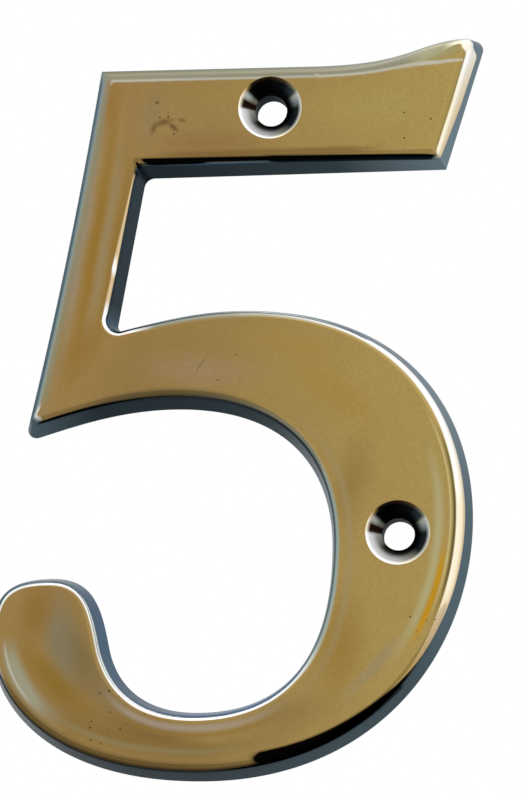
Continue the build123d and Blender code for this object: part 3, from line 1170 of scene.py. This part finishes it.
@dataclass(frozen=True)
class BuffedPlate:
    """Cast brass, bright-plated and buffed on a wheel.

    The face is a mirror whose warm gold and long soft streaks are painted reflection of warm surroundings,
    with small dark casting pits, a stain and a hair scratch. The rolled edge carries painted glints and dark
    painted reflections, and the flank a cool slate painted reflection. The tones along the edge and in the
    countersinks stand for what the mirror reflects.
    Sizes are millimetres.
    """

    name: str = "brass_cast_buffed_and_plated"
    back: str = "#6E6A62"
    # The bores are painted near black: painted shade inside the holes
    bore: str = "#0E0D0C"
    # Tint of the metal at a grazing view
    grazing: str = "#C0C6CA"
    # The face's warm gold is painted reflection of warm surroundings; it gets paler towards the right,
    # between these places, and in clouds of this size
    face_reflection_deep: str = "#8E7143"
    face_reflection_pale: str = "#B09858"
    pale_from: float = -10.0
    pale_to: float = 21.0
    cloud_size: float = 9.0
    cloud_share: float = 0.3
    # The streaks wander by this reach, in waves of this size
    warp_size: float = 5.0
    warp_reach: float = 0.7
    # Grain of the casting, drawn coarser than the real one of about 0.1 mm so that it shows
    grain: str = "#7E643A"
    grain_size: float = 0.3
    grain_limits: Pair = (0.35, 0.75)
    grain_strength: float = 0.22
    # Casting pits: spacing, size, smallest and largest growth, and share of the radius that is soft
    pit: str = "#4A3618"
    pit_pitch: float = 0.9
    pit_size: float = 0.15
    pit_growth: Pair = (0.6, 1.5)
    pit_soft: float = 0.5
    # Ripple that the wheel left on the face, and the cast skin on the flank and the back
    wave_size: float = 4.0
    wave_depth: float = 0.0015
    wave_limits: Pair = (0.35, 0.7)
    skin_size: float = 0.5
    skin_depth: float = 0.012
    # Lowest and highest roughness: mirror face, satin flank and countersinks, dull bores and back
    face_roughness: Pair = (0.05, 0.1)
    flank_roughness: Pair = (0.2, 0.32)
    sink_roughness: Pair = (0.42, 0.52)
    bore_roughness: Pair = (0.4, 0.6)
    back_roughness: Pair = (0.42, 0.6)
    # Distances outside a mouth, or into the face, between which a tone comes in
    sink_limits: Pair = (0.0, -0.06)
    bore_limits: Pair = (-1.58, -1.64)
    back_limits: Pair = (-4.62, -4.9)
    # Distances inside a mouth between which the lip gives way to the wall, and the wall to the root
    wall_limits: Pair = (0.17, 0.26)
    root_limits: Pair = (0.7, 1.2)
    looks: tuple[EdgeLook, ...] = PAINTED_EDGE_REFLECTIONS
    sinks: tuple[SinkLook, ...] = PAINTED_SINK_REFLECTIONS
    bands: tuple[EdgeBand, ...] = PAINTED_REFLECTION_BANDS
    streaks: tuple[Streak, ...] = STREAKS
    pits: tuple[PitPatch, ...] = PIT_PATCHES

    def along(self, stations: np.ndarray) -> list[Layer]:
        """Work out the painted reflections that change along the edge: the roll's and the flank's tones and
        the lines along the face's edge.

        Args:
            stations: Station of every point of the mesh.

        Returns:
            Name, kind and values of each thing that the mesh is to carry.
        """
        spots = [look.station for look in self.looks]

        def spread(table: Sequence[Sequence[float]]) -> np.ndarray:
            """Values at the points between those of the looks."""
            return np.stack([np.interp(stations, spots, column) for column in zip(*table)], axis=1)

        made = []
        for mark, part in ((Mark.INNER, "inner"), (Mark.OUTER, "outer"), (Mark.FLANK, "flank")):
            tones = [linear(getattr(look, part)) for look in self.looks]
            made.append((mark.value, Kind.COLOUR, spread(tones)))
        limits = [(look.begins, look.ends, look.soft) for look in self.looks]
        made.append((Mark.LIMITS.value, Kind.VECTOR, spread(limits)))
        for number, band in enumerate(self.bands):
            values = np.stack((band.share(stations), band.insets(stations), np.zeros(len(stations))), axis=1)
            made.append((f"{Mark.BAND.value}{number}", Kind.VECTOR, values))
        return made

    def around(self, turns: np.ndarray, depths: np.ndarray) -> Layer:
        """Work out the painted reflections in the countersinks.

        Args:
            turns: Turn of every point of the mesh round its nearest hole, in degrees.
            depths: Distance of every point outside the mouth of that hole.

        Returns:
            Name, kind and values of what the mesh is to carry.
        """
        spots = [look.turn for look in self.sinks]
        rows = []
        for part in ("lip", "wall", "root"):
            tones = zip(*(linear(getattr(look, part)) for look in self.sinks))
            rows.append(np.stack([np.interp(turns, spots, tone, period=360) for tone in tones], axis=1))
        lip, wall, root = rows
        inner = np.interp(-depths, self.wall_limits, (0, 1))[:, None]
        deep = np.interp(-depths, self.root_limits, (0, 1))[:, None]
        values = (lip * (1 - inner) + wall * inner) * (1 - deep) + root * deep
        return Mark.SINK.value, Kind.COLOUR, values

    def material(self) -> bpy.types.Material:
        """Build the finish.

        Returns:
            The material.
        """
        made = bpy.data.materials.new(self.name)
        add = partial(add_node, bare_tree(made))
        place = add("TexCoord")["Object"]
        edge, hole = (add("Attribute", attribute_name=mark.value)["Fac"] for mark in (Mark.EDGE, Mark.HOLE))
        colour = self.face_colour(add, place)
        colour, flank = self.edge_colour(add, colour, edge)
        colour = self.lay_bands(add, colour, edge)
        colour = self.lay_pits(add, colour, place)
        sink = add("Attribute", attribute_name=Mark.SINK.value)["Color"]
        masks = (
            (hole, self.sink_limits, sink),
            (hole, self.bore_limits, linear(self.bore)),
            (edge, self.back_limits, linear(self.back)),
        )
        shares = [flank]
        for value, (low, high), tone in masks:
            shares.append(add("MapRange", {"Value": value, "From Min": low, "From Max": high})["Result"])
            colour = add("Mix", {0: shares[-1], 6: colour, 7: tone}, data_type="RGBA")[2]
        wave, skin = (
            add("TexNoise", {"Vector": place, "Scale": 1 / (size * MM), "Detail": detail})["Fac"]
            for size, detail in ((self.wave_size, 2.0), (self.skin_size, 4.0))
        )
        cast_share = add("Math", {0: flank, 1: shares[-1]}, operation="MAXIMUM")[0]
        (low, high), (least, most) = self.wave_limits, self.face_roughness
        bounds = {"Value": wave, "From Min": low, "From Max": high, "To Min": least, "To Max": most}
        rough = add("MapRange", bounds)["Result"]
        ranges = (self.flank_roughness, self.sink_roughness, self.bore_roughness, self.back_roughness)
        for share, (low, high) in zip(shares, ranges):
            dull = add("MapRange", {"Value": skin, "To Min": low, "To Max": high})["Result"]
            rough = add("Mix", {0: share, 2: rough, 3: dull})[0]
        bump = {"Height": wave, "Distance": self.wave_depth * MM, "Strength": 1.0}
        ripple = add("Bump", bump)["Normal"]
        skin = add("Math", {0: skin, 1: cast_share}, operation="MULTIPLY")[0]
        bump = {"Height": skin, "Distance": self.skin_depth * MM, "Strength": 1.0, "Normal": ripple}
        metal = {
            "Normal": add("Bump", bump)["Normal"],
            "Base Color": colour,
            "Metallic": 1.0,
            "Roughness": rough,
            "Specular Tint": linear(self.grazing),
        }
        add("OutputMaterial", {"Surface": add("BsdfPrincipled", metal)[0]})
        return made

    def edge_colour(self, add: AddNode, colour: Socket, edge: Socket) -> tuple[Socket, Socket]:
        """Lay the roll's painted glints and dark reflections and the flank's painted slate reflection over
        the face's tones.

        Args:
            add: Adds a node to the finish.
            colour: Socket with the face's colour.
            edge: Socket with the distance from the face's edge, in millimetres.

        Returns:
            Sockets with the colour and with the share of the flank.
        """
        marks = (Mark.INNER, Mark.OUTER, Mark.FLANK)
        inner, outer, slate = (add("Attribute", attribute_name=mark.value)["Color"] for mark in marks)
        limits = add("Attribute", attribute_name=Mark.LIMITS.value)["Vector"]
        begins, ends, soft = add("SeparateXYZ", {0: limits})
        bounds = {"Value": edge, "From Min": begins, "From Max": ends}
        across = add("MapRange", bounds, interpolation_type="SMOOTHSTEP")["Result"]
        # The roll's painted reflection, from its inner tone to its outer one
        roll = add("Mix", {0: across, 6: inner, 7: outer}, data_type="RGBA")[2]
        share = across
        for limit, paint in ((begins, roll), (ends, slate)):
            past = add("Math", {0: limit, 1: edge}, operation="SUBTRACT")[0]
            past = add("Math", {0: past, 1: soft}, operation="DIVIDE")[0]
            bounds = {"Value": past, "From Min": -1.0, "From Max": 1.0}
            share = add("MapRange", bounds, interpolation_type="SMOOTHSTEP")["Result"]
            colour = add("Mix", {0: share, 6: colour, 7: paint}, data_type="RGBA")[2]
        return colour, share

    def face_colour(self, add: AddNode, place: Socket) -> Socket:
        """Lay the tones of the polished face: the painted reflection of warm surroundings, its streaks, and
        the casting's grain.

        Args:
            add: Adds a node to the finish.
            place: Socket with the place on the figure, in metres.

        Returns:
            Socket with the colour.
        """
        cloud = add("TexNoise", {"Vector": place, "Scale": 1 / (self.cloud_size * MM), "Detail": 3.0})["Fac"]
        across = add("SeparateXYZ", {0: place})["X"]
        bounds = {"Value": across, "From Min": self.pale_from * MM, "From Max": self.pale_to * MM}
        across = add("MapRange", bounds)["Result"]
        paler = add("Mix", {0: self.cloud_share, 2: across, 3: cloud})[0]
        tones = {0: paler, 6: linear(self.face_reflection_deep), 7: linear(self.face_reflection_pale)}
        colour = add("Mix", tones, data_type="RGBA")[2]
        drift = add("TexNoise", {"Vector": place, "Scale": 1 / (self.warp_size * MM), "Detail": 1.0})["Color"]
        # The noise swings about a half
        drift = add("VectorMath", {0: drift, 1: (0.5, 0.5, 0.5)}, operation="SUBTRACT")["Vector"]
        drift = add("VectorMath", {0: drift, 3: self.warp_reach * MM}, operation="SCALE")["Vector"]
        warped = add("VectorMath", {0: place, 1: drift}, operation="ADD")["Vector"]
        # Each streak is a soft ellipse, taken in its own frame where its rim lies at 1
        for streak in self.streaks:
            patch = {
                "Vector": warped,
                "Location": (streak.place[0] * MM, 0, streak.place[1] * MM),
                "Rotation": (0, -math.radians(streak.slope), 0),
                "Scale": (streak.length * MM, 1.0, streak.width * MM),
            }
            local = add("Mapping", patch, vector_type="TEXTURE")["Vector"]
            away = add("VectorMath", {0: local, 1: (1.0, 0.0, 1.0)}, operation="MULTIPLY")["Vector"]
            reach = add("VectorMath", {0: away}, operation="LENGTH")["Value"]
            bounds = {"Value": reach, "From Min": 1.0, "From Max": 0.0, "To Max": streak.strength}
            share = add("MapRange", bounds, interpolation_type="SMOOTHSTEP")["Result"]
            colour = add("Mix", {0: share, 6: colour, 7: linear(streak.tone)}, data_type="RGBA")[2]
        grain = add("TexNoise", {"Vector": place, "Scale": 1 / (self.grain_size * MM), "Detail": 3.0})["Fac"]
        low, high = self.grain_limits
        bounds = {"Value": grain, "From Min": low, "From Max": high, "To Max": self.grain_strength}
        grain = add("MapRange", bounds)["Result"]
        return add("Mix", {0: grain, 6: colour, 7: linear(self.grain)}, data_type="RGBA")[2]

    def lay_bands(self, add: AddNode, colour: Socket, edge: Socket) -> Socket:
        """Lay the soft lines of painted reflection that follow the edge over a colour.

        Args:
            add: Adds a node to the finish.
            colour: Socket with the colour below.
            edge: Socket with the distance from the face's edge, in millimetres.

        Returns:
            Socket with the colour.
        """
        for number, band in enumerate(self.bands):
            line = add("Attribute", attribute_name=f"{Mark.BAND.value}{number}")["Vector"]
            shown, inset, _ = add("SeparateXYZ", {0: line})
            gap = add("Math", {0: edge, 1: inset}, operation="SUBTRACT")[0]
            gap = add("Math", {0: gap}, operation="ABSOLUTE")[0]
            bounds = {"Value": gap, "From Min": band.width, "From Max": 0.0, "To Max": band.strength}
            across = add("MapRange", bounds, interpolation_type="SMOOTHSTEP")["Result"]
            share = add("Math", {0: across, 1: shown}, operation="MULTIPLY")[0]
            colour = add("Mix", {0: share, 6: colour, 7: linear(band.tone)}, data_type="RGBA")[2]
        return colour

    def lay_pits(self, add: AddNode, colour: Socket, place: Socket) -> Socket:
        """Lay small dark casting pits over a colour.

        Args:
            add: Adds a node to the finish.
            colour: Socket with the colour below.
            place: Socket with the place on the figure, in metres.

        Returns:
            Socket with the colour.
        """
        x, _, z = add("SeparateXYZ", {0: place})
        flat = add("CombineXYZ", {0: x, 1: z})[0]
        scale = 1 / (self.pit_pitch * MM)
        cells = add("TexVoronoi", {"Vector": flat, "Scale": scale}, voronoi_dimensions="2D")
        chance, size, _ = add("SeparateColor", {0: cells["Color"]})
        small, large = self.pit_growth
        growth = add("MapRange", {"Value": size, "To Min": small, "To Max": large})["Result"]
        away = add("Math", {0: cells["Distance"], 1: growth}, operation="DIVIDE")[0]
        radius = self.pit_size / 2 / self.pit_pitch
        low, high = radius * (1 + self.pit_soft), radius * (1 - self.pit_soft)
        dot = add("MapRange", {"Value": away, "From Min": low, "From Max": high})["Result"]
        for patch in self.pits:
            middle = (patch.place[0] * MM, patch.place[1] * MM, 0.0)
            away = add("VectorMath", {0: flat, 1: middle}, operation="DISTANCE")["Value"]
            # The chance of a pit falls off towards the patch's rim
            bounds = {"Value": away, "From Min": patch.reach * MM, "From Max": 0.0, "To Max": patch.share}
            share = add("MapRange", bounds)["Result"]
            there = add("Math", {0: chance, 1: share}, operation="LESS_THAN")[0]
            there = add("Math", {0: there, 1: dot}, operation="MULTIPLY")[0]
            colour = add("Mix", {0: there, 6: colour, 7: linear(self.pit)}, data_type="RGBA")[2]
        return colour


@dataclass(frozen=True)
class Card:
    """A bent studio card that shows only in the metal's reflections.

    Each row gives a way that an edge looks and the two tilts of that edge, in degrees from the face, between
    which the camera sees the card in it.
    """

    name: str
    tone: str
    rows: tuple[Triple, ...]
    distance: float = 0.6
    columns: int = 48
    steps: int = 10

    def build(self, toward_camera: Vector) -> bpy.types.Object:
        """Bend the card so that the camera sees it where its rows say.

        Args:
            toward_camera: Unit step from the figure to the camera.

        Returns:
            The card.
        """
        table = np.array(self.rows)
        points, faces = [], []
        for facing in np.linspace(table[0, 0], table[-1, 0], self.columns + 1):
            near, far = (np.interp(facing, table[:, 0], table[:, k]) for k in (1, 2))
            for tilt in np.radians(np.linspace(near, far, self.steps + 1)):
                across = unit(facing) * math.sin(tilt)
                normal = Vector((across[0], -math.cos(tilt), across[1]))
                points.append(self.distance * (2 * normal.dot(toward_camera) * normal - toward_camera))
        width = self.steps + 1
        for row in range(self.columns):
            for k in range(self.steps):
                first = row * width + k
                faces.append((first, first + 1, first + width + 1, first + width))
        mesh = bpy.data.meshes.new(self.name)
        mesh.from_pydata(points, [], faces)
        card = put(self.name, mesh)
        made = bpy.data.materials.new(self.name + "_paper")
        add = partial(add_node, bare_tree(made))
        add("OutputMaterial", {"Surface": add("Emission", {"Color": linear(self.tone)})[0]})
        mesh.materials.append(made)
        card.visible_camera = False
        card.visible_diffuse = False
        card.visible_shadow = False
        card.visible_transmission = False
        return card


CARDS = (
    Card(
        "black_card",
        "#030303",
        (
            (-88, 56, 58),
            (-84, 50, 62),
            (-80, 44, 66),
            (-75, 42, 68),
            (-70, 30, 72),
            (-66, 22, 74),
            (-58, 23, 74),
            (-50, 28, 74),
            (-42, 42, 74),
            (-36, 58, 68),
            (-33, 62, 64),
        ),
    ),
)


@dataclass(frozen=True)
class Lamp:
    """A soft square lamp that looks at the figure, in metres and watts."""

    name: str
    place: Triple
    watts: float
    size: float = 3.0

    def build(self) -> None:
        """Hang the lamp."""
        light = bpy.data.lights.new(self.name, "AREA")
        light.size = self.size
        light.energy = self.watts
        lamp = put(self.name, light)
        lamp.location = self.place
        lamp.rotation_euler = (-Vector(self.place)).to_track_quat("-Z", "Y").to_euler()


@dataclass(frozen=True)
class Studio:
    """Pale floor, soft lamps, white surroundings and the camera."""

    # The floor is matt paper, an even pale ground
    floor_tone: str = "#EFEFED"
    floor_roughness: float = 0.9
    floor_level: float = -1.0
    floor_size: float = 8.0
    lamps: tuple[Lamp, ...] = (
        Lamp("key_lamp", (0.9, -1.0, 1.5), 8.0),
        Lamp("fill_lamp", (-1.3, -1.2, 0.6), 3.0),
    )
    sky: float = 0.75
    # The camera, in millimetres, stands where the photograph was taken from
    camera_place: Triple = (41.78, -408.8, -71.62)
    camera_aim: Triple = (2.42, 0.0, 0.793)
    lens: float = 185.85
    sensor_width: float = 36.0
    clip_start: float = 0.02

    def build(self) -> None:
        """Set up the floor, the light and the camera."""
        self.floor()
        self.surroundings()
        for lamp in self.lamps:
            lamp.build()
        self.camera()

    def floor(self) -> None:
        """A plain pale floor."""
        half = self.floor_size / 2
        mesh = bpy.data.meshes.new("floor")
        corners = [(-half, -half), (half, -half), (half, half), (-half, half)]
        mesh.from_pydata([(x, y, self.floor_level) for x, y in corners], [], [(0, 1, 2, 3)])
        made = bpy.data.materials.new("floor_paper_matt")
        add = partial(add_node, bare_tree(made))
        paper = {"Base Color": linear(self.floor_tone), "Roughness": self.floor_roughness}
        add("OutputMaterial", {"Surface": add("BsdfPrincipled", paper)[0]})
        mesh.materials.append(made)
        put("floor", mesh)

    def surroundings(self) -> None:
        """White surroundings for the eye and for reflections, softer light for the rest."""
        world = bpy.data.worlds.new("white_studio")
        bpy.context.scene.world = world
        add = partial(add_node, bare_tree(world))
        path = add("LightPath")
        seen = path["Is Camera Ray"]
        for ray in ("Is Glossy Ray", "Is Transmission Ray"):
            seen = add("Math", {0: seen, 1: path[ray]}, operation="MAXIMUM")[0]
        strength = add("MapRange", {"Value": seen, "To Min": self.sky, "To Max": 1.0})["Result"]
        light = add("Background", {"Strength": strength, "Color": (1, 1, 1, 1)})[0]
        add("OutputWorld", {"Surface": light})

    def toward_camera(self) -> Vector:
        """Unit step from the figure to the camera."""
        return (Vector(self.camera_place) - Vector(self.camera_aim)).normalized()

    def camera(self) -> None:
        """Set the camera at the photograph's viewing angle."""
        data = bpy.data.cameras.new("camera")
        data.lens = self.lens
        data.sensor_width = self.sensor_width
        data.clip_start = self.clip_start
        camera = put("camera", data)
        camera.location = Vector(self.camera_place) * MM
        camera.rotation_euler = (-self.toward_camera()).to_track_quat("-Z", "Y").to_euler()
        bpy.context.scene.camera = camera


def main() -> None:
    """Build the figure over its frame, dress it and set the studio round it."""
    logging.basicConfig(level=logging.INFO, format="%(name)s: %(message)s")
    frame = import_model()
    LOG.info("frame nodes: %s", ", ".join(frame["nodes"]))
    number = HouseNumber()
    figure = number.build()
    number.dress(figure, BuffedPlate())
    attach(figure, "root")
    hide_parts("house_number")
    LOG.info("%s: %d points, %d faces", figure.name, len(figure.data.vertices), len(figure.data.polygons))
    studio = Studio()
    studio.build()
    for card in CARDS:
        made = card.build(studio.toward_camera())
        LOG.info("%s: %d faces", made.name, len(made.data.polygons))
    bpy.context.scene.view_settings.view_transform = "Standard"


if __name__ == "__main__":
    main()
